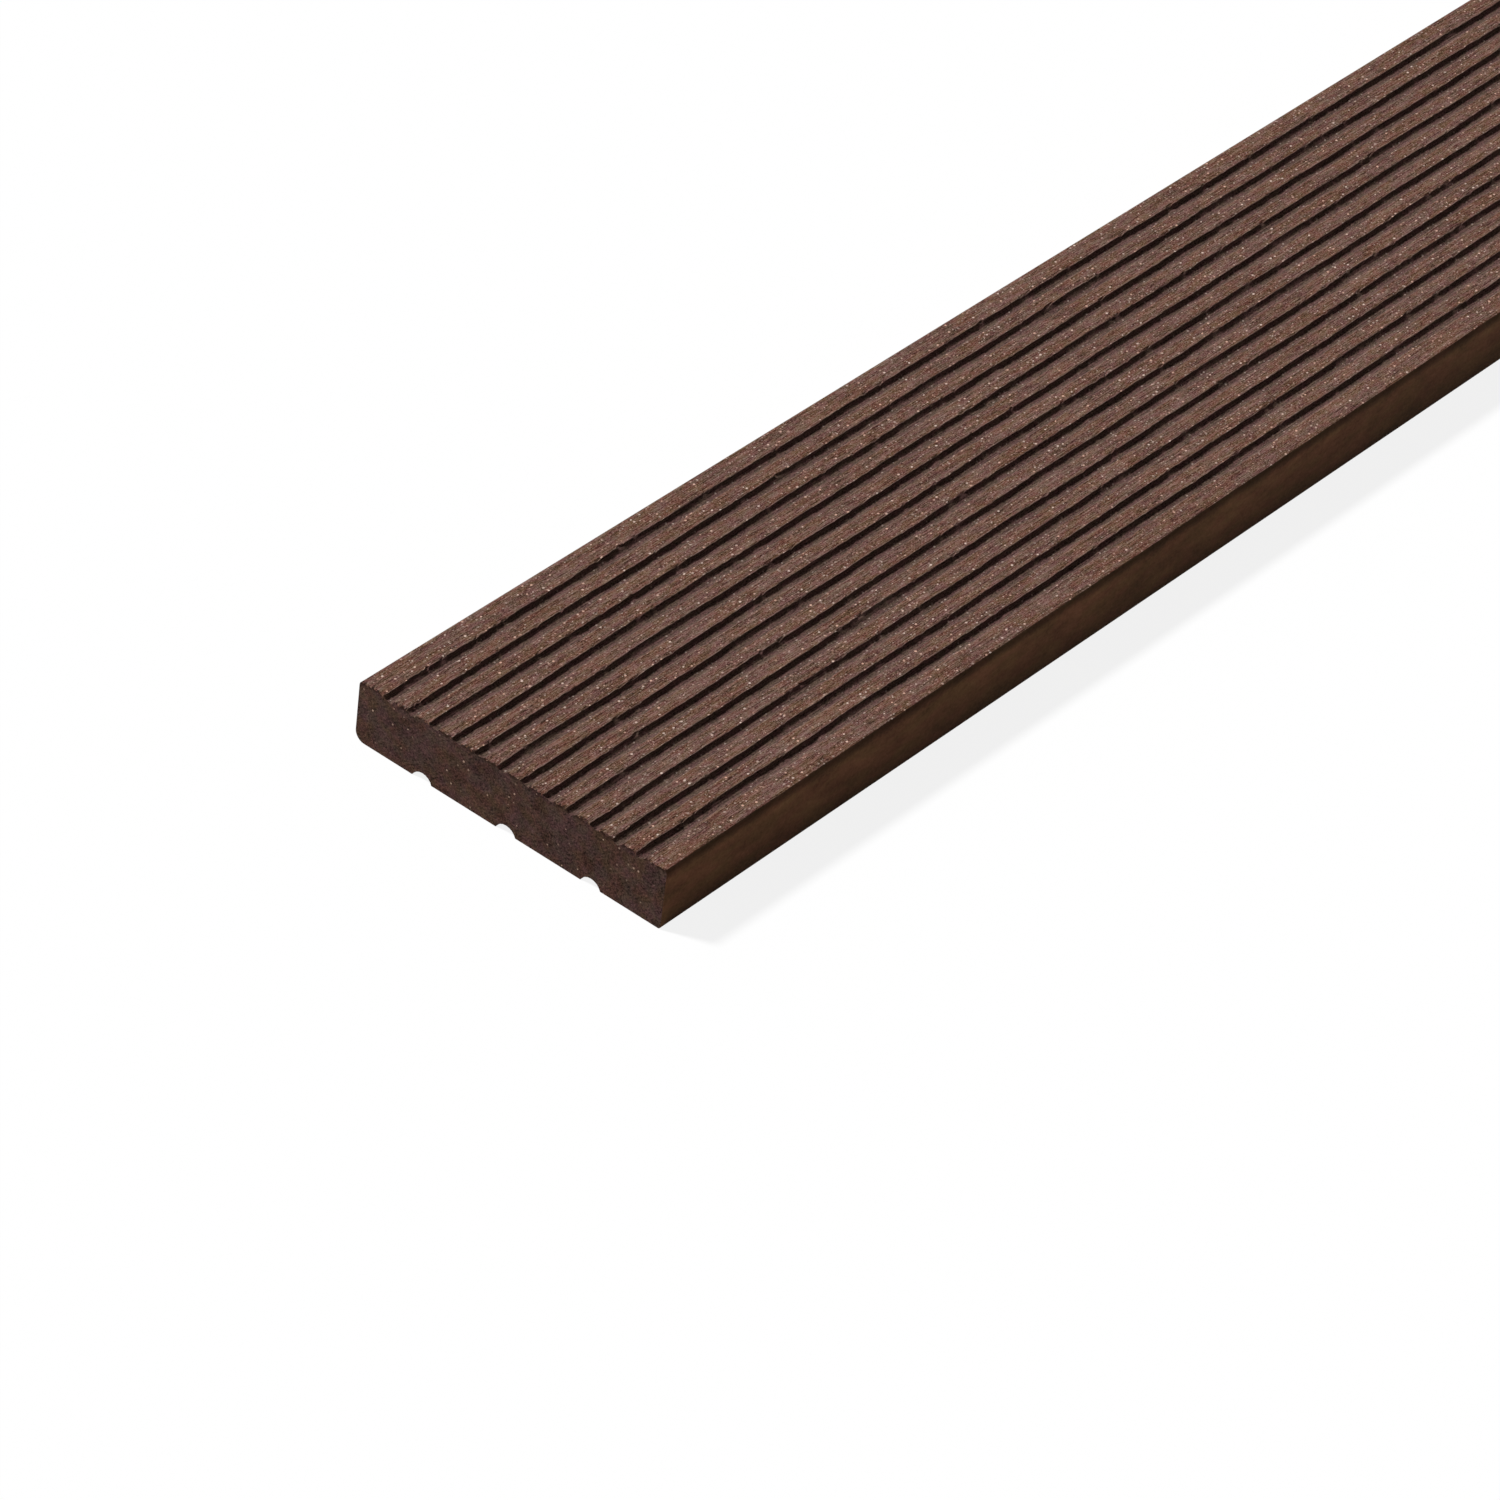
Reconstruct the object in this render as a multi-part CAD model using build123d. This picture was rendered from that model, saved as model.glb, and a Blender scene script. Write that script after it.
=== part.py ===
from build123d import *
import os

# Composite skirting board: one straight length of solid extruded wood-plastic composite.
# One broad face carries fine round-bottomed flutes, the other a few wide relief grooves, and
# both rows run the whole length. One lower long edge is full and round, the other long edges are
# just broken, and the ends are sawn square.
#
# The board lies flat with its flutes up. X runs along it, Y across it and Z up, from the
# middle of the underside. Sizes are in millimetres.

# Overall size of the stock
BOARD_LENGTH = 2200.0
BOARD_WIDTH = 66.0
BOARD_THICKNESS = 12.0

# Fine flutes in the upper face, with the flat strip left outside the row
FLUTE_COUNT = 12
FLUTE_WIDTH = 2.2
FLUTE_DEPTH = 1.0
FLUTE_EDGE_LAND = 4.4

# Wide relief grooves in the underside, with the flat strip left outside the row
RELIEF_COUNT = 3
RELIEF_WIDTH = 4.2
RELIEF_DEPTH = 1.45
RELIEF_EDGE_LAND = 12.7

# Rounding of the long edges: the lower one at the back is the round one
UPPER_EDGE_RADIUS = 0.7
LOWER_FRONT_RADIUS = 0.5
LOWER_BACK_RADIUS = 2.0


def groove_radius(width, depth):
    """Radius of a round-bottomed groove from its width at the face and its depth."""
    return (width**2 / 4 + depth**2) / (2 * depth)


def row_pitch(count, width, edge_land):
    """Spacing that spreads a row of grooves between the strips left at the board's edges."""
    return (BOARD_WIDTH - 2 * edge_land - width) / (count - 1)


def cut_row(count, width, depth, edge_land, face_height, inward):
    """Cut a row of grooves into the broad face at face_height of the section being drawn.

    inward is the direction into the board: -1 from the upper face, +1 from the underside.
    """
    radius = groove_radius(width, depth)
    axis_height = face_height + inward * (depth - radius)
    with Locations((0, axis_height)):
        with GridLocations(row_pitch(count, width, edge_land), 0, count, 1):
            Circle(radius, mode=Mode.SUBTRACT)


def board_section():
    """The board's cross-section, drawn across Y and up Z."""
    with BuildSketch(Plane.YZ) as section:
        Rectangle(BOARD_WIDTH, BOARD_THICKNESS, align=(Align.CENTER, Align.MIN))
        lower_back = section.vertices().group_by(Axis.Y)[0].sort_by(Axis.X)[-1]
        fillet(lower_back, LOWER_BACK_RADIUS)
        lower_front = section.vertices().group_by(Axis.Y)[0].sort_by(Axis.X)[0]
        fillet(lower_front, LOWER_FRONT_RADIUS)
        upper_corners = section.vertices().group_by(Axis.Y)[-1]
        fillet(upper_corners, UPPER_EDGE_RADIUS)
        cut_row(FLUTE_COUNT, FLUTE_WIDTH, FLUTE_DEPTH, FLUTE_EDGE_LAND, BOARD_THICKNESS, -1)
        cut_row(RELIEF_COUNT, RELIEF_WIDTH, RELIEF_DEPTH, RELIEF_EDGE_LAND, 0, 1)
    return section.sketch


def skirting_board():
    """The section run out along X, half the length each way."""
    return extrude(board_section(), amount=BOARD_LENGTH / 2, both=True)


os.makedirs("parts", exist_ok=True)
export_step(skirting_board(), "parts/skirting_board.step")
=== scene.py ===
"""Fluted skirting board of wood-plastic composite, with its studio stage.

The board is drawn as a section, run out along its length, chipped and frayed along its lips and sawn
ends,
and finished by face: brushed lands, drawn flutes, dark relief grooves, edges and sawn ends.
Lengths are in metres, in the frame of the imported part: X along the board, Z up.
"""

import contextlib
import math

import bmesh
import bpy
from bpy.props import FloatProperty, FloatVectorProperty, IntProperty, PointerProperty
from mathutils import Color, Matrix, Vector


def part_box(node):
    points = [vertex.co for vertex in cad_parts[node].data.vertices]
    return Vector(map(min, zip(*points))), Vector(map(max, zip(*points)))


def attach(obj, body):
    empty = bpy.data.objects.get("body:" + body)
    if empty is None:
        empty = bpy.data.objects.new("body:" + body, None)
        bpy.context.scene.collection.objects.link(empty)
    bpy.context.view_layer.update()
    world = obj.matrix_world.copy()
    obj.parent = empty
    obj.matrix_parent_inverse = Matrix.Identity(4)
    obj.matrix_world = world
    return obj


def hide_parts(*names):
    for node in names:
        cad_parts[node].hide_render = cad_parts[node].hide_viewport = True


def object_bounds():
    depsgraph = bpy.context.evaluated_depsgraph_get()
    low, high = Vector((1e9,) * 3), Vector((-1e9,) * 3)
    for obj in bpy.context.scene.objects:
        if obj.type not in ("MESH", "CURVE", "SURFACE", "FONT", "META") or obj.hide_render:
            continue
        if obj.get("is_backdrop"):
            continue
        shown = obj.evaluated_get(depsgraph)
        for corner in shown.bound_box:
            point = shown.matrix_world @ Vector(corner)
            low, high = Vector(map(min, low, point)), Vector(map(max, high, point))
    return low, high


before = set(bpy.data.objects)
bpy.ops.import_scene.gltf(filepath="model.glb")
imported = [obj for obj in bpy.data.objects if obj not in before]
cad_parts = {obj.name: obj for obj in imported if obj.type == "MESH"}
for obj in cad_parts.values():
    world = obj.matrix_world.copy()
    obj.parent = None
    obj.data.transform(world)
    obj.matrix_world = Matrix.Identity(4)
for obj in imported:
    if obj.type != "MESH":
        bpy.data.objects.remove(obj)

bl_info = {
    "name": "Fluted Skirting Board",
    "version": (1, 0, 0),
    "blender": (4, 5, 0),
    "location": "3D View > Sidebar > Skirting",
    "description": "Models a fluted composite skirting board and lights it on a plain stage",
    "category": "Add Mesh",
}

MM = 0.001
CAD_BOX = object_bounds()
NODE = "skirting_board"
NODE_LOW, NODE_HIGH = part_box(NODE)
NODE_SIZE = NODE_HIGH - NODE_LOW
PIECE = "fluted_board"

# Places closer together than this count as one
TOUCH = 0.01 * MM

# Middle of a noise that runs from 0 to 1
NOISE_MIDDLE = 0.5


# Settings that a user would change

BYTE = 255


def srgb(*channels):
    """Linear colour of an 8-bit display colour."""
    return tuple(Color([channel / BYTE for channel in channels]).from_srgb_to_scene_linear())


def distance(name, description, default, **limits):
    """A length property in metres."""
    return FloatProperty(
        name=name, description=description, default=default, unit="LENGTH", subtype="DISTANCE",
        precision=5, **limits,
    )


def angle(name, description, degrees, **limits):
    """An angle property."""
    return FloatProperty(
        name=name, description=description, default=math.radians(degrees), unit="ROTATION",
        subtype="ANGLE", **limits,
    )


def colour(name, description, default):
    """A colour property."""
    return FloatVectorProperty(
        name=name, description=description, default=default, subtype="COLOR", size=3, min=0, max=1,
    )


class BoardSizes(bpy.types.PropertyGroup):
    """Section and length of the board."""

    length: distance("Length", "Sawn length of the board", NODE_SIZE.x, min=0.2)
    width: distance("Width", "Width across the broad faces", NODE_SIZE.y, min=0.01)
    thickness: distance("Thickness", "Height of the board as it lies", NODE_SIZE.z, min=0.005)
    flute_count: IntProperty(
        name="Flutes", description="Fine flutes in the upper face", default=12, min=2,
    )
    flute_width: distance("Flute Width", "Width of a flute at the face", 2.2 * MM)
    flute_depth: distance("Flute Depth", "Depth of a flute", 1.0 * MM)
    flute_edge_land: distance("Flute Edge Land", "Strip outside the row of flutes", 4.4 * MM)
    relief_count: IntProperty(
        name="Reliefs", description="Wide grooves in the underside", default=3, min=2,
    )
    relief_width: distance("Relief Width", "Width of a wide groove at the face", 4.2 * MM)
    relief_depth: distance("Relief Depth", "Depth of a wide groove", 1.45 * MM)
    relief_edge_land: distance("Relief Edge Land", "Strip outside the wide grooves", 12.7 * MM)
    upper_radius: distance("Upper Rounding", "Radius of the upper long edges", 0.7 * MM)
    lower_front_radius: distance("Lower Front Rounding", "Radius of the lower front edge", 0.5 * MM)
    lower_back_radius: distance("Lower Back Rounding", "Radius of the lower back edge", 2.0 * MM)


class BoardWear(bpy.types.PropertyGroup):
    """How far the worked edges wander and tear."""

    lip_wander: distance("Lip Wander", "Sideways wander of the groove lips", 0.7 * MM)
    lip_ragged: distance("Lip Raggedness", "Fine sideways raggedness of the flute lips", 0.18 * MM)
    lip_chip: distance("Lip Chips", "Depth of the chips along the flute lips", 0.4 * MM)
    flute_drift: distance("Flute Drift", "Drift of the back flutes at the low-X end", 0.9 * MM)
    end_tear: distance("End Tear", "Depth of the tears along the sawn ends", 0.55 * MM)
    end_burr: distance("End Burr", "Height of the burr that the saw leaves in the flutes", 0.65 * MM)


class BoardColours(bpy.types.PropertyGroup):
    """Colours of the finishes."""

    land: colour("Land", "Brushed flat strips", srgb(111, 78, 65))
    # The flutes' own brown, darker than the lands, with a grey tint that is painted sheen
    flute: colour("Flute", "Inside of the flutes", srgb(95, 74, 67))
    relief: colour("Relief", "Dark skin in the wide grooves", srgb(50, 37, 35))
    edge: colour("Edge", "Dark skin of the long edges", srgb(98, 76, 60))
    sawn: colour("Sawn", "Sawn ends", srgb(73, 58, 55))
    fleck: colour("Fleck", "Pale wood flecks", srgb(230, 208, 194))
    warm_fleck: colour("Warm Fleck", "Reddish wood flecks", srgb(226, 182, 160))
    # Paler colour laid along the lips of the flutes
    lip_pale: colour("Paler_Lip", "Paler lips of the flutes", srgb(134, 114, 106))
    pore: colour("Pore", "Small dark pores", srgb(48, 33, 28))
    # Painted shade: this dark colour, laid in nicks along the upper rims of the sawn ends, stands in for
    # the shade in those notches
    tear: colour("Tear", "Shaded rims of the sawn ends", srgb(36, 24, 20))


class StageSettings(bpy.types.PropertyGroup):
    """Light, floor and camera."""

    key_strength: FloatProperty(
        name="Key", description="Strength of the lamp on the far left", default=3.75, min=0,
    )
    key_spread: angle("Key Spread", "Angle across the lamp", 8, min=0)
    fill_strength: FloatProperty(
        name="Fill", description="Strength of the light from all round", default=0.07, min=0,
    )
    floor_bounce: colour("Floor", "Colour of the light that the floor throws back", (0.95, 0.70, 0.52))
    lens: FloatProperty(
        name="Lens", description="Focal length on a 36 mm sensor, in millimetres", default=162.88,
        min=1,
    )
    azimuth: angle("Azimuth", "Turn of the view about Z, where zero looks along +Y", -54.603)
    elevation: angle("Elevation", "Height of the view above the horizon", 38.096)
    roll: angle("Roll", "Lift of the picture's right side", 7.538)
    aim_along: distance("Aim Along", "Aimed point, from the sawn end along the board", 45.9 * MM)
    aim_across: distance("Aim Across", "Aimed point, from the middle across the board", -13.2 * MM)
    camera_distance: distance("Distance", "From the aimed point to the camera", 1.1173, min=0.01)


# Modelling by operators


def deselect_all():
    """Deselect every object."""
    bpy.ops.object.select_all(action="DESELECT")


@contextlib.contextmanager
def edit_mode(piece, elements):
    """Edit a piece, selecting vertices, edges or faces."""
    bpy.context.view_layer.objects.active = piece
    bpy.ops.object.mode_set(mode="EDIT")
    bpy.ops.mesh.select_mode(type=elements)
    yield
    bpy.ops.object.mode_set(mode="OBJECT")


def select_where(piece, kind, test):
    """In edit mode, select just the verts, edges or faces that pass the test."""
    bpy.ops.mesh.select_all(action="DESELECT")
    mesh = bmesh.from_edit_mesh(piece.data)
    for element in getattr(mesh, kind):
        if test(element):
            element.select_set(True)
    mesh.select_flush_mode()
    bmesh.update_edit_mesh(piece.data)


class SectionPen:
    """Draws an outline in the YZ plane from one vertex, by extruding and spinning it."""

    def __init__(self, name, x, y, z):
        deselect_all()
        bpy.ops.mesh.primitive_plane_add(size=MM, location=(x, y, z))
        self.piece = bpy.context.active_object
        self.piece.name = name
        self.piece.data.name = name
        bpy.ops.object.transform_apply(location=True, rotation=True, scale=True)
        self.x, self.y, self.z = x, y, z

    def start(self):
        """Draw the plane together into the first vertex."""
        bpy.ops.mesh.select_all(action="SELECT")
        bpy.ops.mesh.merge(type="CENTER")

    def line(self, y, z):
        """Extrude the vertex in a straight line."""
        step = (0, y - self.y, z - self.z)
        bpy.ops.mesh.extrude_vertices_move(TRANSFORM_OT_translate={"value": step})
        self.y, self.z = y, z

    def arc(self, centre_y, centre_z, sweep, steps):
        """Spin the vertex about a line along X. A positive sweep turns Y towards Z."""
        bpy.ops.mesh.spin(
            steps=steps, angle=-sweep, center=(self.x, centre_y, centre_z), axis=(1, 0, 0),
        )
        arm = Matrix.Rotation(sweep, 2) @ Vector((self.y - centre_y, self.z - centre_z))
        self.y, self.z = centre_y + arm.x, centre_z + arm.y


# Section of the board

# Width of the strip drawn along each lip, and steps of the arcs
LIP_BAND = 0.35 * MM
FLUTE_STEPS = 6
RELIEF_STEPS = 8
UPPER_STEPS = 3
FRONT_STEPS = 3
BACK_STEPS = 6


def row_centres(width, count, groove_width, edge_land):
    """Middles of a row of grooves that fills the width between its edge strips."""
    first = -width / 2 + edge_land + groove_width / 2
    pitch = -2 * first / (count - 1)
    return [first + i * pitch for i in range(count)]


def flute_centres(sizes):
    """Middles of the flutes, from front to back."""
    return row_centres(sizes.width, sizes.flute_count, sizes.flute_width, sizes.flute_edge_land)


def relief_centres(sizes):
    """Middles of the wide grooves, from front to back."""
    return row_centres(sizes.width, sizes.relief_count, sizes.relief_width, sizes.relief_edge_land)


def row_lips(centres, width, z):
    """(Y, Z) of both lips of each groove in a row."""
    return [Vector((centre + side * width / 2, z)) for centre in centres for side in (-1, 1)]


def flute_lips(sizes):
    """(Y, Z) of the lips of the flutes."""
    return row_lips(flute_centres(sizes), sizes.flute_width, sizes.thickness)


def relief_lips(sizes):
    """(Y, Z) of the lips of the wide grooves."""
    return row_lips(relief_centres(sizes), sizes.relief_width, 0.0)


def lip_gap(vertex, lips):
    """Distance of a vertex from the nearest of these lips."""
    return min((vertex.co.yz - lip).length for lip in lips)


def groove_radius(width, depth):
    """Radius of a round-bottomed groove."""
    return (width**2 / 4 + depth**2) / (2 * depth)


def draw_land(pen, end_y):
    """Draw across a flat strip, with a narrow band along each of its lips."""
    band = math.copysign(LIP_BAND, end_y - pen.y)
    for y in (pen.y + band, end_y - band, end_y):
        pen.line(y, pen.z)


def draw_face(pen, centres, width, depth, inward, steps, end_y):
    """Draw a grooved broad face up to end_y. inward is +1 or -1 along Z."""
    radius = groove_radius(width, depth)
    axis_z = pen.z + inward * (depth - radius)
    sweep = 2 * math.acos((radius - depth) / radius)
    way = math.copysign(1, end_y - pen.y)
    for centre in centres:
        draw_land(pen, centre - way * width / 2)
        pen.arc(centre, axis_z, sweep, steps)
    draw_land(pen, end_y)


def draw_section(sizes):
    """Outline of the board's section at its low-X end: up the front, over the top and back below."""
    half, top = sizes.width / 2, sizes.thickness
    upper = sizes.upper_radius
    front, back = sizes.lower_front_radius, sizes.lower_back_radius
    quarter = math.radians(-90)
    pen = SectionPen(PIECE, -sizes.length / 2, -half, front)
    with edit_mode(pen.piece, "VERT"):
        pen.start()
        pen.line(-half, top - upper)
        pen.arc(upper - half, top - upper, quarter, UPPER_STEPS)
        draw_face(
            pen, flute_centres(sizes), sizes.flute_width, sizes.flute_depth,
            inward=-1, steps=FLUTE_STEPS, end_y=half - upper,
        )
        pen.arc(half - upper, top - upper, quarter, UPPER_STEPS)
        pen.line(half, back)
        pen.arc(half - back, back, quarter, BACK_STEPS)
        draw_face(
            pen, relief_centres(sizes)[::-1], sizes.relief_width, sizes.relief_depth,
            inward=1, steps=RELIEF_STEPS, end_y=front - half,
        )
        pen.arc(front - half, front, quarter, FRONT_STEPS)
        bpy.ops.mesh.select_all(action="SELECT")
        bpy.ops.mesh.remove_doubles(threshold=TOUCH)
    return pen.piece


# Length of the board, cut finest at the sawn ends and along the lips

END_FIRST_STEP = 0.2 * MM
END_STEP_GROWTH = 1.5
END_STEP_COUNT = 7
NEAR_REACH = 330 * MM
NEAR_SPACING = 2.1 * MM
FAR_SPACING = 13 * MM
MOST_CUTS = 90
LIP_CUTS = 2
RIM_CUTS = 5


def even_runs(length, spacing):
    """Split a length into runs that one subdivision each cuts to about the spacing."""
    intervals = round(length / spacing)
    runs = math.ceil(intervals / MOST_CUTS)
    return [(length / runs, math.ceil(intervals / runs))] * runs


def station_runs(length):
    """Runs along the board with their numbers of intervals, finest at the sawn ends."""
    end = [(END_FIRST_STEP * END_STEP_GROWTH**i, 1) for i in range(END_STEP_COUNT)]
    end_length = sum(run for run, _ in end)
    near = even_runs(NEAR_REACH - end_length, NEAR_SPACING)
    far = even_runs(length - 2 * NEAR_REACH, FAR_SPACING)
    return end + near + far + near + end[::-1]


def run_out(board, length):
    """Extrude the section along X run by run, and close both ends."""
    with edit_mode(board, "EDGE"):
        bpy.ops.mesh.select_all(action="SELECT")
        for run, _ in station_runs(length):
            bpy.ops.mesh.extrude_edges_move(TRANSFORM_OT_translate={"value": (run, 0, 0)})
        for end_x in (-length / 2, length / 2):
            select_where(board, "edges", lambda e: all(abs(v.co.x - end_x) < TOUCH for v in e.verts))
            bpy.ops.mesh.edge_face_add()
        bpy.ops.mesh.select_all(action="SELECT")
        bpy.ops.mesh.normals_make_consistent(inside=False)


def cut_stations(board, length):
    """Subdivide the lengthwise edges of each run."""

    def lengthwise(edge, low, high):
        start, end = sorted(v.co.x for v in edge.verts)
        return abs(start - low) < TOUCH and abs(end - high) < TOUCH

    with edit_mode(board, "EDGE"):
        low = -length / 2
        for run, intervals in station_runs(length):
            if intervals > 1:
                select_where(board, "edges", lambda e: lengthwise(e, low, low + run))
                bpy.ops.mesh.subdivide(number_cuts=intervals - 1)
            low += run


def refine_lips(board, sizes):
    """Cut the lips of the flutes and the upper rims of the sawn ends finer than the rest."""
    lips = flute_lips(sizes)

    def on_lip(edge):
        return all(lip_gap(v, lips) < TOUCH for v in edge.verts)

    def on_rim(edge):
        at_end = all(abs(abs(v.co.x) - sizes.length / 2) < TOUCH for v in edge.verts)
        return at_end and all(v.co.z > sizes.thickness - TOUCH for v in edge.verts)

    with edit_mode(board, "EDGE"):
        for test, cuts in ((on_lip, LIP_CUTS), (on_rim, RIM_CUTS)):
            select_where(board, "edges", test)
            bpy.ops.mesh.subdivide(number_cuts=cuts, ngon=False)


# Finishes by face

# Parts of a unit normal from which a face is flat to its axis, or is the top of a rounding
FLAT = 0.99
ROUNDING_TOP = 0.8


def lay_finishes(board, sizes, colours):
    """Give every strip of the section its own finish."""
    half, top = sizes.width / 2, sizes.thickness

    def on_land(face):
        z = face.calc_center_median().z
        return abs(face.normal.z) > FLAT and (z > top - TOUCH or z < TOUCH)

    def on_upper_rounding(face):
        y = face.calc_center_median().y
        return face.normal.z > ROUNDING_TOP and abs(y) > half - sizes.upper_radius

    def in_flute(face):
        centre = face.calc_center_median()
        in_row = abs(centre.y) < half - sizes.flute_edge_land
        return in_row and top - sizes.flute_depth - TOUCH < centre.z < top - TOUCH

    def in_relief(face):
        centre = face.calc_center_median()
        in_row = abs(centre.y) < half - sizes.relief_edge_land
        return in_row and TOUCH < centre.z < sizes.relief_depth + TOUCH

    finishes = (
        (edge_finish(colours, top), lambda face: True),
        (land_finish(colours, sizes.length / 2), lambda face: on_land(face) or on_upper_rounding(face)),
        (flute_finish(colours, top, sizes.flute_depth), in_flute),
        (relief_finish(colours), in_relief),
        (sawn_finish(colours, top), lambda face: abs(face.normal.x) > FLAT),
    )
    for material, _ in finishes:
        board.data.materials.append(material)
    with edit_mode(board, "FACE"):
        for slot, (_, belongs) in enumerate(finishes):
            board.active_material_index = slot
            select_where(board, "faces", belongs)
            bpy.ops.object.material_slot_assign()


# Wear of the worked edges

LIP_GROUP = "lips"
BAND_GROUP = "lip_bands"
TEAR_GROUP = "end_tears"
BURR_GROUP = "end_burrs"
DRIFT_GROUP = "flute_drift"
LIP_ATTRIBUTE = "lip"
WORN_RINGS = 4
RING_FADE = 0.5
DRIFT_REACH = 140 * MM


def mark_group(board, name, weight, test):
    """In edit mode, add the vertices that pass the test to a group."""
    group = board.vertex_groups.get(name) or board.vertex_groups.new(name=name)
    board.vertex_groups.active_index = group.index
    select_where(board, "verts", test)
    bpy.context.tool_settings.vertex_group_weight = weight
    bpy.ops.object.vertex_group_assign()


def mark_drift(board, sizes):
    """In edit mode, mark each flute with its lips, from none at the front to all at the back."""
    floor = sizes.thickness - sizes.flute_depth - TOUCH
    centres = flute_centres(sizes)
    reach = (centres[1] - centres[0]) / 2
    for index, centre in enumerate(centres):
        mark_group(
            board, DRIFT_GROUP, index / (sizes.flute_count - 1),
            lambda v: v.co.z > floor and abs(v.co.y - centre) < reach,
        )


def mark_lips(board, sizes):
    """In edit mode, mark the lips of the flutes, and every lip with the bands beside it."""
    fine = flute_lips(sizes)
    every = fine + relief_lips(sizes)
    mark_group(board, LIP_GROUP, 1.0, lambda v: lip_gap(v, fine) < TOUCH)
    mark_group(board, BAND_GROUP, 1.0, lambda v: lip_gap(v, every) < LIP_BAND + TOUCH)


def end_rings():
    """Distances of the outermost rings from the sawn ends, with weights that fade inwards."""
    step, reach, weight = END_FIRST_STEP, 0.0, 1.0
    for _ in range(WORN_RINGS):
        yield reach, weight
        reach += step
        step *= END_STEP_GROWTH
        weight *= RING_FADE


def flute_depths(sizes):
    """Depths of the drawn points down one side of a flute."""
    radius = groove_radius(sizes.flute_width, sizes.flute_depth)
    reach = math.acos(1 - sizes.flute_depth / radius)
    for i in range(1, FLUTE_STEPS // 2 + 1):
        yield radius * math.cos(reach - 2 * reach * i / FLUTE_STEPS) - radius + sizes.flute_depth


def mark_ends(board, sizes):
    """In edit mode, mark the upper rims of the sawn ends, and the flutes where they come out."""
    top = sizes.thickness

    def at_ring(vertex, reach):
        return abs(sizes.length / 2 - abs(vertex.co.x) - reach) < TOUCH

    for reach, weight in end_rings():
        mark_group(
            board, TEAR_GROUP, weight, lambda v: at_ring(v, reach) and v.co.z > top - TOUCH,
        )
        for depth in flute_depths(sizes):
            mark_group(
                board, BURR_GROUP, weight * depth / sizes.flute_depth,
                lambda v: at_ring(v, reach) and abs(v.co.z - top + depth) < TOUCH,
            )


def mark_wear(board, sizes):
    """Mark all that wears, by how much."""
    with edit_mode(board, "VERT"):
        mark_drift(board, sizes)
        mark_lips(board, sizes)
        mark_ends(board, sizes)


def noise_texture(name, brightness, contrast, depth):
    """Procedural clouds for a displacement."""
    texture = bpy.data.textures.new(name, "CLOUDS")
    texture.noise_scale = 1.0
    texture.noise_depth = depth
    texture.intensity = brightness
    texture.contrast = contrast
    texture.use_clamp = True
    return texture


def fading_texture(name):
    """A quadratic fade from 1 at +1 along X to 0 at -1, for a displacement."""
    texture = bpy.data.textures.new(name, "BLEND")
    texture.progression = "QUADRATIC"
    return texture


def wear_away(board, group, axis, strength, texture, grain, middle=0.0, middle_x=0.0):
    """Displace a group of vertices along one axis by a texture of the given grain, and apply it.

    middle is the texture's value that moves nothing, middle_x is where the texture is centred.
    """
    bpy.ops.object.empty_add(type="PLAIN_AXES", location=(middle_x, 0, 0))
    grid = bpy.context.active_object
    grid.scale = grain
    bpy.context.view_layer.update()
    bpy.context.view_layer.objects.active = board
    bpy.ops.object.modifier_add(type="DISPLACE")
    displace = board.modifiers[-1]
    displace.texture = texture
    displace.texture_coords = "OBJECT"
    displace.texture_coords_object = grid
    displace.vertex_group = group
    displace.direction = axis
    displace.mid_level = middle
    displace.strength = strength
    bpy.ops.object.modifier_apply(modifier=displace.name)
    bpy.data.objects.remove(grid)
    bpy.data.textures.remove(texture)


def wear_lips(board, wear):
    """Let the lips wander, fray and chip."""
    wander = noise_texture("lip_wander", brightness=1.0, contrast=1.0, depth=2)
    grain = (24 * MM, 2 * MM, 2 * MM)
    wear_away(board, BAND_GROUP, "Y", wear.lip_wander, wander, grain, middle=NOISE_MIDDLE)
    ragged = noise_texture("lip_ragged", brightness=1.0, contrast=1.5, depth=1)
    grain = (0.8 * MM, 1 * MM, 1 * MM)
    wear_away(board, LIP_GROUP, "Y", wear.lip_ragged, ragged, grain, middle=NOISE_MIDDLE)
    chips = noise_texture("lip_chips", brightness=0.02, contrast=5.0, depth=2)
    grain = (2.0 * MM, 1 * MM, 1 * MM)
    wear_away(board, LIP_GROUP, "Z", -wear.lip_chip, chips, grain)


def wear_ends(board, wear):
    """Tear the upper rims of the sawn ends, and leave a burr in the flutes there."""
    tears = noise_texture("end_tears", brightness=0.55, contrast=5.0, depth=2)
    grain = (1 * MM, 0.7 * MM, 1 * MM)
    wear_away(board, TEAR_GROUP, "Z", -wear.end_tear, tears, grain)
    burrs = noise_texture("end_burrs", brightness=1.0, contrast=3.0, depth=1)
    grain = (2 * MM, 2 * MM, 2 * MM)
    wear_away(board, BURR_GROUP, "Z", wear.end_burr, burrs, grain)


def drift_flutes(board, wear, length):
    """Draw the flutes forwards near the low-X end, those at the back the most."""
    fade = fading_texture("flute_drift")
    half_reach = DRIFT_REACH / 2
    grain = (-half_reach, half_reach, half_reach)
    middle_x = half_reach - length / 2
    wear_away(board, DRIFT_GROUP, "Y", -wear.flute_drift, fade, grain, middle_x=middle_x)


def keep_lip_attribute(board):
    """Store the lips as an attribute that the finishes read, and drop the working groups."""
    lip_index = board.vertex_groups[LIP_GROUP].index
    attribute = board.data.attributes.new(LIP_ATTRIBUTE, "FLOAT", "POINT")
    for vertex in board.data.vertices:
        attribute.data[vertex.index].value = float(any(g.group == lip_index for g in vertex.groups))
    board.vertex_groups.clear()


# Materials

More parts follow.
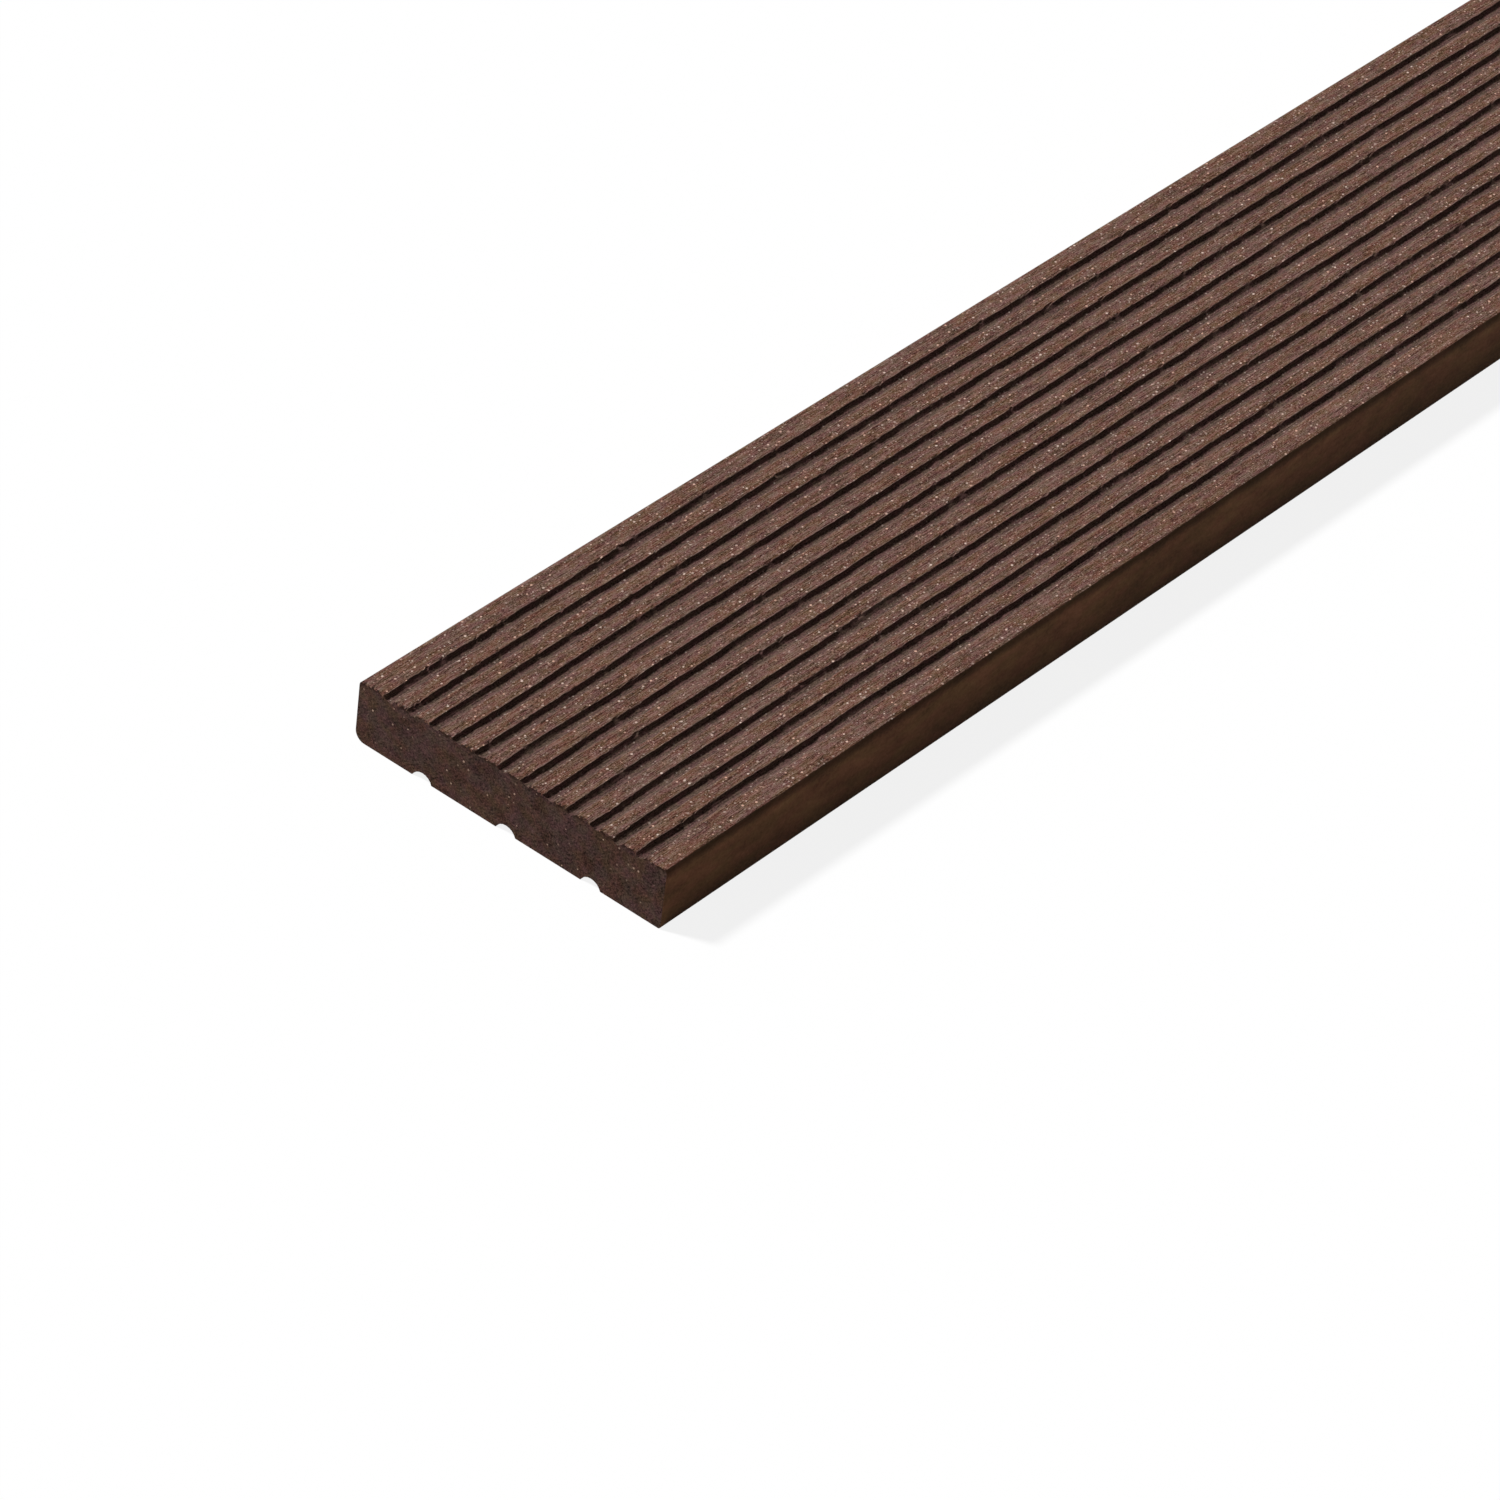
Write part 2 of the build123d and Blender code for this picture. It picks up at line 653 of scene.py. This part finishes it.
# Sockets of the nodes that mix colours and shaders, by number because their names repeat
MIX_FIRST = 6
MIX_SECOND = 7
MIX_RESULT = 2
BLEND_FIRST = 1
BLEND_SECOND = 2

WHITE = (1.0, 1.0, 1.0)
ROSY = (1.08, 0.94, 1.065)
OLIVE = (0.92, 1.06, 0.935)
WARM = (1.04, 1.0, 0.88)
COOL = (0.96, 1.0, 1.11)

LEAST_TONE = 0.2
DARKEST = (LEAST_TONE, LEAST_TONE, LEAST_TONE)
PALE_SHARE = 0.2

# Noise at which a hue starts and ends its turn, and at which the painted shade in a rim's nicks is full
HUE_LOW = 0.35
HUE_HIGH = 0.65
NICK_SHADE_FULL = 0.56

# Size of the smallest fleck beside the largest, and strength of the dimmest beside the brightest
SMALLEST_FLECK = 0.5
DIMMEST_FLECK = 0.25

SAW_SLANT = math.radians(35)
SAW_CLOSENESS = 0.45
SAW_WAVER = 3.0


class Nodes:
    """Adds nodes to one tree and links them."""

    def __init__(self, tree):
        self.tree = tree

    def node(self, kind, **settings):
        """A new node with its settings."""
        made = self.tree.nodes.new(kind)
        for key, value in settings.items():
            setattr(made, key, value)
        return made

    def feed(self, socket, value):
        """Link a socket's source, or set its number or colour."""
        if isinstance(value, bpy.types.NodeSocket):
            self.tree.links.new(value, socket)
        elif isinstance(socket, bpy.types.NodeSocketColor):
            socket.default_value = (*value, 1.0)
        else:
            socket.default_value = value

    def calculate(self, operation, first, second=0.0):
        """Two numbers put together."""
        made = self.node("ShaderNodeMath", operation=operation)
        self.feed(made.inputs[0], first)
        self.feed(made.inputs[1], second)
        return made.outputs["Value"]

    def ramp(self, value, low=0.0, high=1.0, to_low=0.0, to_high=1.0, smooth=True):
        """A value spread from one range over another, and held at its ends."""
        kind = "SMOOTHSTEP" if smooth else "LINEAR"
        made = self.node("ShaderNodeMapRange", interpolation_type=kind)
        numbers = (("From Min", low), ("From Max", high), ("To Min", to_low), ("To Max", to_high))
        self.feed(made.inputs["Value"], value)
        for name, number in numbers:
            self.feed(made.inputs[name], number)
        return made.outputs["Result"]

    def mix(self, amount, first, second, blend="MIX"):
        """Two colours mixed."""
        made = self.node("ShaderNodeMix", data_type="RGBA", blend_type=blend)
        self.feed(made.inputs["Factor"], amount)
        self.feed(made.inputs[MIX_FIRST], first)
        self.feed(made.inputs[MIX_SECOND], second)
        return made.outputs[MIX_RESULT]


class Finish(Nodes):
    """A procedural material on the piece's own coordinates."""

    def __init__(self, name, roughness, specular):
        self.material = bpy.data.materials.new(name)
        self.material.use_nodes = True
        super().__init__(self.material.node_tree)
        self.shader = self.tree.nodes["Principled BSDF"]
        self.shader.inputs["Roughness"].default_value = roughness
        self.shader.inputs["Specular IOR Level"].default_value = specular
        self.coordinates = self.node("ShaderNodeTexCoord").outputs["Object"]

    def face_along_board(self):
        """Turn the plane of the pattern to face along the board, as a sawn end does."""
        turned = self.node("ShaderNodeCombineXYZ")
        for source, target in zip("YZX", "XYZ"):
            self.feed(turned.inputs[target], self.axis(source))
        self.coordinates = turned.outputs["Vector"]

    def axis(self, name):
        """The place on the pattern along one axis."""
        axes = self.node("ShaderNodeSeparateXYZ")
        self.feed(axes.inputs["Vector"], self.coordinates)
        return axes.outputs[name]

    def grain(self, along, across, turn=0.0):
        """Coordinates counted in grains of this length along the pattern and width across it."""
        mapping = self.node("ShaderNodeMapping")
        self.feed(mapping.inputs["Vector"], self.coordinates)
        mapping.inputs["Rotation"].default_value = (0, 0, turn)
        mapping.inputs["Scale"].default_value = (1 / along, 1 / across, 1 / across)
        return mapping.outputs["Vector"]

    def noise(self, along, across, detail=2.0, roughness=0.5):
        """Soft noise from 0 to 1."""
        texture = self.node("ShaderNodeTexNoise")
        self.feed(texture.inputs["Vector"], self.grain(along, across))
        self.feed(texture.inputs["Scale"], 1.0)
        self.feed(texture.inputs["Detail"], detail)
        self.feed(texture.inputs["Roughness"], roughness)
        return texture.outputs["Fac"]

    def cells(self, along, across):
        """Cells in the plane of the pattern: distance from the middle, and three random numbers."""
        texture = self.node("ShaderNodeTexVoronoi", voronoi_dimensions="2D", feature="F1")
        self.feed(texture.inputs["Vector"], self.grain(along, across))
        self.feed(texture.inputs["Scale"], 1.0)
        chance = self.node("ShaderNodeSeparateColor")
        self.feed(chance.inputs["Color"], texture.outputs["Color"])
        return texture.outputs["Distance"], chance.outputs

    def granules(self, along, across):
        """Small cells, each with a lightness of its own from 0 to 1."""
        _, chance = self.cells(along, across)
        return chance["Red"]

    def flecks(self, spacing, stretch, share, radius, softness):
        """Scattered flecks from 0 to 1, drawn out along the pattern.

        share is the part of the cells with a fleck, radius is in cells.
        """
        distance_out, chance = self.cells(spacing * stretch, spacing)
        chosen = self.calculate("LESS_THAN", chance["Red"], share)
        reach = self.ramp(chance["Green"], to_low=radius * SMALLEST_FLECK, to_high=radius)
        spot = self.ramp(self.calculate("SUBTRACT", reach, distance_out), high=softness)
        bright = self.ramp(chance["Blue"], to_low=DIMMEST_FLECK)
        return self.calculate("MULTIPLY", self.calculate("MULTIPLY", spot, chosen), bright)

    def tone(self, *parts):
        """Lightness about 1 from noises, each paired with its weight."""
        total = 1.0
        for noise, weight in parts:
            swing = self.calculate("MULTIPLY", self.calculate("SUBTRACT", noise, NOISE_MIDDLE), weight)
            total = self.calculate("ADD", total, swing)
        return self.calculate("MAXIMUM", total, LEAST_TONE)

    def shade(self, base, lightness):
        """A colour made lighter or darker."""
        return self.mix(1.0, base, lightness, "MULTIPLY")

    def hues(self, base, along, across, tints, strength):
        """A colour that drifts from one tint of itself to another."""
        drift = self.ramp(self.noise(along, across), low=HUE_LOW, high=HUE_HIGH)
        return self.mix(strength, base, self.mix(drift, *tints), "MULTIPLY")

    def lay_over(self, base, cover, spots, strength):
        """A colour with spots of another laid over it."""
        return self.mix(self.calculate("MULTIPLY", spots, strength), base, cover)

    def shade_rim_nicks(self, base, tear, rim, threshold, least, most):
        """A colour with painted shade in nicks along a rim, where the noise is over the threshold."""
        noise = self.noise(along=1.0 * MM, across=0.6 * MM, detail=1.0)
        nick_strength = self.ramp(noise, low=threshold, high=NICK_SHADE_FULL, to_low=least, to_high=most)
        return self.lay_over(base, tear, rim, nick_strength)

    def bump(self, height, depth):
        """Relief of this depth on the shader."""
        made = self.node("ShaderNodeBump")
        self.feed(made.inputs["Distance"], depth)
        self.feed(made.inputs["Height"], height)
        self.feed(self.shader.inputs["Normal"], made.outputs["Normal"])

    def paint(self, base_colour):
        """Base colour of the shader."""
        self.feed(self.shader.inputs["Base Color"], base_colour)


def brush(finish, base, tone, pale):
    """Brushed colour: down to the darkest tone in the grooves of the grain, and paler on its ridges."""
    low = finish.ramp(tone, low=LEAST_TONE, high=1.0, smooth=False)
    high = finish.ramp(tone, low=1.0, high=2.0, smooth=False)
    brown = finish.mix(low, finish.shade(base, DARKEST), base)
    return finish.mix(high, brown, finish.mix(PALE_SHARE, base, pale))


def pale_lip_line(finish, base, lip_pale, streak):
    """A paler line along the lips of the flutes, broken up by the streaks."""
    lip = finish.node("ShaderNodeAttribute", attribute_name=LIP_ATTRIBUTE).outputs["Fac"]
    lip_share = finish.ramp(lip, low=0.4)
    broken = finish.ramp(streak, low=0.35, high=0.6, to_low=0.1, to_high=0.6)
    return finish.lay_over(base, lip_pale, lip_share, broken)


def land_finish(colours, end):
    """Brushed face: fine streaks along the board, pale wood flecks and small dark pores."""
    finish = Finish("brushed_land", roughness=0.85, specular=0.04)
    streak = finish.noise(along=3.6 * MM, across=0.12 * MM, detail=3.0, roughness=0.6)
    line = finish.noise(along=9 * MM, across=0.22 * MM, detail=1.0)
    grain = finish.noise(along=0.34 * MM, across=0.14 * MM)
    granule = finish.granules(along=0.36 * MM, across=0.15 * MM)
    patch = finish.noise(along=13 * MM, across=3.5 * MM)
    tone = finish.tone((streak, 3.6), (line, 1.7), (grain, 3.3), (granule, 0.5), (patch, 0.5))
    base = finish.hues(colours.land, along=2.5 * MM, across=1.0 * MM, tints=(ROSY, OLIVE), strength=1.0)
    base = finish.hues(base, along=5.0 * MM, across=1.8 * MM, tints=(WARM, COOL), strength=1.0)
    brown = brush(finish, base, tone, colours.fleck)
    brown = pale_lip_line(finish, brown, colours.lip_pale, streak)
    pores = finish.flecks(spacing=0.8 * MM, stretch=1.6, share=0.15, radius=0.24, softness=0.1)
    brown = finish.lay_over(brown, colours.pore, pores, strength=0.6)
    warmth = finish.ramp(finish.noise(along=1.6 * MM, across=1.6 * MM), low=0.42, high=0.58)
    fleck = finish.mix(warmth, colours.fleck, colours.warm_fleck)
    faint = finish.flecks(spacing=0.55 * MM, stretch=1.3, share=0.34, radius=0.32, softness=0.1)
    brown = finish.lay_over(brown, fleck, faint, strength=0.42)
    bright = finish.flecks(spacing=0.95 * MM, stretch=1.2, share=0.24, radius=0.25, softness=0.08)
    brown = finish.lay_over(brown, fleck, bright, strength=0.95)
    from_middle = finish.calculate("ABSOLUTE", finish.axis("X"))
    rim = finish.ramp(from_middle, low=end - 0.7 * MM, high=end - 0.2 * MM)
    # Painted shade in nicks along the rims of the sawn ends
    finish.paint(finish.shade_rim_nicks(brown, colours.tear, rim, threshold=0.5, least=0.0, most=0.85))
    finish.bump(finish.calculate("ADD", tone, bright), depth=0.02 * MM)
    return finish.material


def flute_finish(colours, top, depth):
    """Inside of the flutes: greyer than the lands, the grey being painted sheen on their own darker
    brown, with drawn lines and a few flecks on the floors.
    """
    finish = Finish("drawn_flute", roughness=0.7, specular=0.03)
    line = finish.noise(along=6 * MM, across=0.2 * MM)
    patch = finish.noise(along=10 * MM, across=3 * MM)
    grain = finish.noise(along=0.4 * MM, across=0.2 * MM)
    tone = finish.tone((line, 1.8), (patch, 0.5), (grain, 3.0))
    base = finish.hues(colours.flute, along=2.5 * MM, across=1.0 * MM, tints=(ROSY, OLIVE), strength=0.75)
    flecks = finish.flecks(spacing=0.7 * MM, stretch=1.3, share=0.25, radius=0.3, softness=0.1)
    floor_top, wall_foot = top - 0.8 * depth, top - 0.5 * depth
    floor = finish.ramp(finish.axis("Z"), low=floor_top, high=wall_foot, to_low=0.4, to_high=0.0)
    finish.paint(finish.lay_over(finish.shade(base, tone), colours.fleck, flecks, floor))
    finish.bump(tone, depth=0.015 * MM)
    return finish.material


def relief_finish(colours):
    """Dark, slightly glossy extruded skin of the wide grooves."""
    finish = Finish("dark_relief", roughness=0.42, specular=0.12)
    line = finish.noise(along=18 * MM, across=0.6 * MM)
    mottle = finish.noise(along=12 * MM, across=3 * MM)
    tone = finish.tone((line, 0.8), (mottle, 0.6))
    finish.paint(finish.shade(colours.relief, tone))
    finish.bump(line, depth=0.015 * MM)
    return finish.material


def edge_finish(colours, top):
    """Smooth extruded skin of the long edges, softly mottled, with painted shade along the top."""
    finish = Finish("extruded_edge", roughness=0.55, specular=0.01)
    mottle = finish.noise(along=8 * MM, across=3.5 * MM, detail=4.0, roughness=0.6)
    line = finish.noise(along=4 * MM, across=0.9 * MM)
    grain = finish.noise(along=0.5 * MM, across=0.4 * MM, detail=1.0)
    tone = finish.tone((mottle, 1.4), (line, 0.25), (grain, 0.7))
    # Painted shade: the skin turns darker towards the top, standing in for shade along the upper corner
    shade_foot, shade_top = top - 2.4 * MM, top - 0.7 * MM
    height = finish.ramp(finish.axis("Z"), low=shade_foot, high=shade_top, to_low=1.0, to_high=0.45)
    base = finish.hues(colours.edge, along=6 * MM, across=2 * MM, tints=(ROSY, OLIVE), strength=0.5)
    finish.paint(finish.shade(base, finish.calculate("MULTIPLY", tone, height)))
    finish.bump(line, depth=0.015 * MM)
    return finish.material


def saw_marks(finish):
    """Slanting, wavering marks of the saw, from 0 to 1."""
    marks = finish.node("ShaderNodeTexWave", wave_type="BANDS", bands_direction="Y")
    finish.feed(marks.inputs["Vector"], finish.grain(along=1.0 * MM, across=1.0 * MM, turn=SAW_SLANT))
    finish.feed(marks.inputs["Scale"], SAW_CLOSENESS)
    finish.feed(marks.inputs["Distortion"], SAW_WAVER)
    return marks.outputs["Fac"]


def sawn_finish(colours, top):
    """Sawn end: close mottled grain, slanting saw marks, a few flecks and painted shade in nicks along
    the upper rim.
    """
    finish = Finish("sawn_end", roughness=0.9, specular=0.03)
    finish.face_along_board()
    grain = finish.noise(along=0.24 * MM, across=0.24 * MM, detail=1.0)
    granule = finish.granules(along=0.3 * MM, across=0.3 * MM)
    mottle = finish.noise(along=3.0 * MM, across=3.0 * MM)
    tone = finish.tone((granule, 0.7), (grain, 2.0), (mottle, 1.1), (saw_marks(finish), 0.15))
    base = finish.hues(colours.sawn, along=2.2 * MM, across=2.2 * MM, tints=(ROSY, OLIVE), strength=0.75)
    base = finish.hues(base, along=3.4 * MM, across=3.4 * MM, tints=(WARM, COOL), strength=1.0)
    flecks = finish.flecks(spacing=1.1 * MM, stretch=1.0, share=0.09, radius=0.22, softness=0.08)
    brown = finish.lay_over(finish.shade(base, tone), colours.fleck, flecks, strength=0.45)
    # Painted shade in nicks along the upper rim
    rim = finish.ramp(finish.axis("Y"), low=top - 0.9 * MM, high=top - 0.2 * MM)
    finish.paint(finish.shade_rim_nicks(brown, colours.tear, rim, threshold=0.4, least=0.1, most=0.75))
    finish.bump(tone, depth=0.03 * MM)
    return finish.material


# Stage

FLOOR_SIZE = 60.0
FLOOR_DROP = 0.02 * MM
FLOOR_GLOW = 0.86
KEY_TO_LAMP = Vector((-0.25, 0.58, 0.775))
KEY_DISTANCE = 3.0
SENSOR_WIDTH = 36
CLIP_START = 0.01


def seen_rays(nodes):
    """1 for camera, glossy and transmitted rays, 0 for the light's own paths."""
    path = nodes.node("ShaderNodeLightPath").outputs
    rays = path["Is Camera Ray"]
    for name in ("Is Glossy Ray", "Is Transmission Ray"):
        rays = nodes.calculate("MAXIMUM", rays, path[name])
    return rays


def floor_material(bounce):
    """White with a faint shadow where it is seen, and tinted in the light that it throws back."""
    material = bpy.data.materials.new("pale_floor")
    material.use_nodes = True
    material.node_tree.nodes.clear()
    nodes = Nodes(material.node_tree)
    seen = seen_rays(nodes)
    matt = nodes.node("ShaderNodeBsdfDiffuse")
    nodes.feed(matt.inputs["Color"], nodes.mix(seen, bounce, WHITE))
    glow = nodes.node("ShaderNodeEmission")
    blend = nodes.node("ShaderNodeMixShader")
    nodes.feed(blend.inputs["Fac"], nodes.calculate("MULTIPLY", seen, FLOOR_GLOW))
    nodes.feed(blend.inputs[BLEND_FIRST], matt.outputs["BSDF"])
    nodes.feed(blend.inputs[BLEND_SECOND], glow.outputs["Emission"])
    output = nodes.node("ShaderNodeOutputMaterial")
    nodes.feed(output.inputs["Surface"], blend.outputs["Shader"])
    return material


def add_floor(settings):
    """Broad floor just under the board."""
    deselect_all()
    bpy.ops.mesh.primitive_plane_add(size=FLOOR_SIZE, location=(0, 0, -FLOOR_DROP))
    floor = bpy.context.active_object
    floor.name = "floor"
    floor.data.materials.append(floor_material(settings.floor_bounce))
    floor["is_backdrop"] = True


def add_fill(scene, settings):
    """Dim light from all round, with a white backdrop where it is seen."""
    world = bpy.data.worlds.new("studio")
    world.use_nodes = True
    nodes = Nodes(world.node_tree)
    backdrop = world.node_tree.nodes["Background"]
    strength = nodes.ramp(seen_rays(nodes), to_low=settings.fill_strength, smooth=False)
    nodes.feed(backdrop.inputs["Color"], WHITE)
    nodes.feed(backdrop.inputs["Strength"], strength)
    scene.world = world


def add_key(settings):
    """Broad lamp high on the far left, which leaves the near walls of the section dark."""
    bpy.ops.object.light_add(type="SUN", location=KEY_TO_LAMP * KEY_DISTANCE)
    lamp = bpy.context.active_object
    lamp.name = "key_lamp"
    lamp.rotation_euler = KEY_TO_LAMP.to_track_quat("Z", "Y").to_euler()
    lamp.data.energy = settings.key_strength
    lamp.data.angle = settings.key_spread


def add_camera(scene, settings, length):
    """Camera at the picture's angle, aimed near the board's low-X end."""
    turn, rise = settings.azimuth, settings.elevation
    back = Vector((math.sin(turn) * math.cos(rise), -math.cos(turn) * math.cos(rise), math.sin(rise)))
    aim = Vector((settings.aim_along - length / 2, settings.aim_across, 0))
    bpy.ops.object.camera_add(location=aim + back * settings.camera_distance)
    camera = bpy.context.active_object
    camera.name = "camera"
    level = (-back).to_track_quat("-Z", "Y").to_matrix()
    camera.rotation_euler = (level @ Matrix.Rotation(settings.roll, 3, "Z")).to_euler()
    camera.data.sensor_width = SENSOR_WIDTH
    camera.data.lens = settings.lens
    camera.data.clip_start = CLIP_START
    scene.camera = camera


# Operators, panel and registration

SMOOTH_ANGLE = math.radians(32)


class MESH_OT_skirting_board(bpy.types.Operator):
    """Model the fluted board at its real size, with its wear and finishes"""

    bl_idname = "mesh.skirting_board"
    bl_label = "Skirting Board"

    def execute(self, context):
        sizes = context.scene.skirting_sizes
        wear = context.scene.skirting_wear
        board = draw_section(sizes)
        run_out(board, sizes.length)
        lay_finishes(board, sizes, context.scene.skirting_colours)
        cut_stations(board, sizes.length)
        refine_lips(board, sizes)
        mark_wear(board, sizes)
        wear_lips(board, wear)
        wear_ends(board, wear)
        drift_flutes(board, wear, sizes.length)
        keep_lip_attribute(board)
        bpy.ops.object.shade_smooth_by_angle(angle=SMOOTH_ANGLE)
        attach(board, "root")
        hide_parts(NODE)
        return {"FINISHED"}


class SCENE_OT_skirting_stage(bpy.types.Operator):
    """Set the plain floor, the soft light and the camera round the board"""

    bl_idname = "scene.skirting_stage"
    bl_label = "Studio Stage"

    def execute(self, context):
        settings = context.scene.skirting_stage
        context.scene.view_settings.view_transform = "Standard"
        add_floor(settings)
        add_fill(context.scene, settings)
        add_key(settings)
        add_camera(context.scene, settings, context.scene.skirting_sizes.length)
        return {"FINISHED"}


class VIEW3D_PT_skirting_board(bpy.types.Panel):
    """Settings of the board and its stage, with the buttons that make them"""

    bl_label = "Skirting Board"
    bl_space_type = "VIEW_3D"
    bl_region_type = "UI"
    bl_category = "Skirting"

    def draw(self, context):
        layout = self.layout
        layout.operator(MESH_OT_skirting_board.bl_idname)
        layout.operator(SCENE_OT_skirting_stage.bl_idname)
        for pointer in SETTINGS:
            box = layout.box()
            settings = getattr(context.scene, pointer)
            for name in settings.__annotations__:
                box.prop(settings, name)


SETTINGS = {
    "skirting_sizes": BoardSizes,
    "skirting_wear": BoardWear,
    "skirting_colours": BoardColours,
    "skirting_stage": StageSettings,
}
CLASSES = (
    *SETTINGS.values(),
    MESH_OT_skirting_board,
    SCENE_OT_skirting_stage,
    VIEW3D_PT_skirting_board,
)


def register():
    """Add the classes and the settings that the scene holds."""
    for cls in CLASSES:
        bpy.utils.register_class(cls)
    for pointer, group in SETTINGS.items():
        setattr(bpy.types.Scene, pointer, PointerProperty(type=group))


def unregister():
    """Take the settings and the classes away again."""
    for pointer in SETTINGS:
        delattr(bpy.types.Scene, pointer)
    for cls in reversed(CLASSES):
        bpy.utils.unregister_class(cls)


def main():
    """Build the board and its stage, and work out the bounds of the result beside the frame's."""
    register()
    bpy.ops.mesh.skirting_board()
    bpy.ops.scene.skirting_stage()
    boxes = {"cad": CAD_BOX, "visual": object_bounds()}
    {name: [list(corner) for corner in box] for name, box in boxes.items()}


if __name__ == "__main__":
    main()
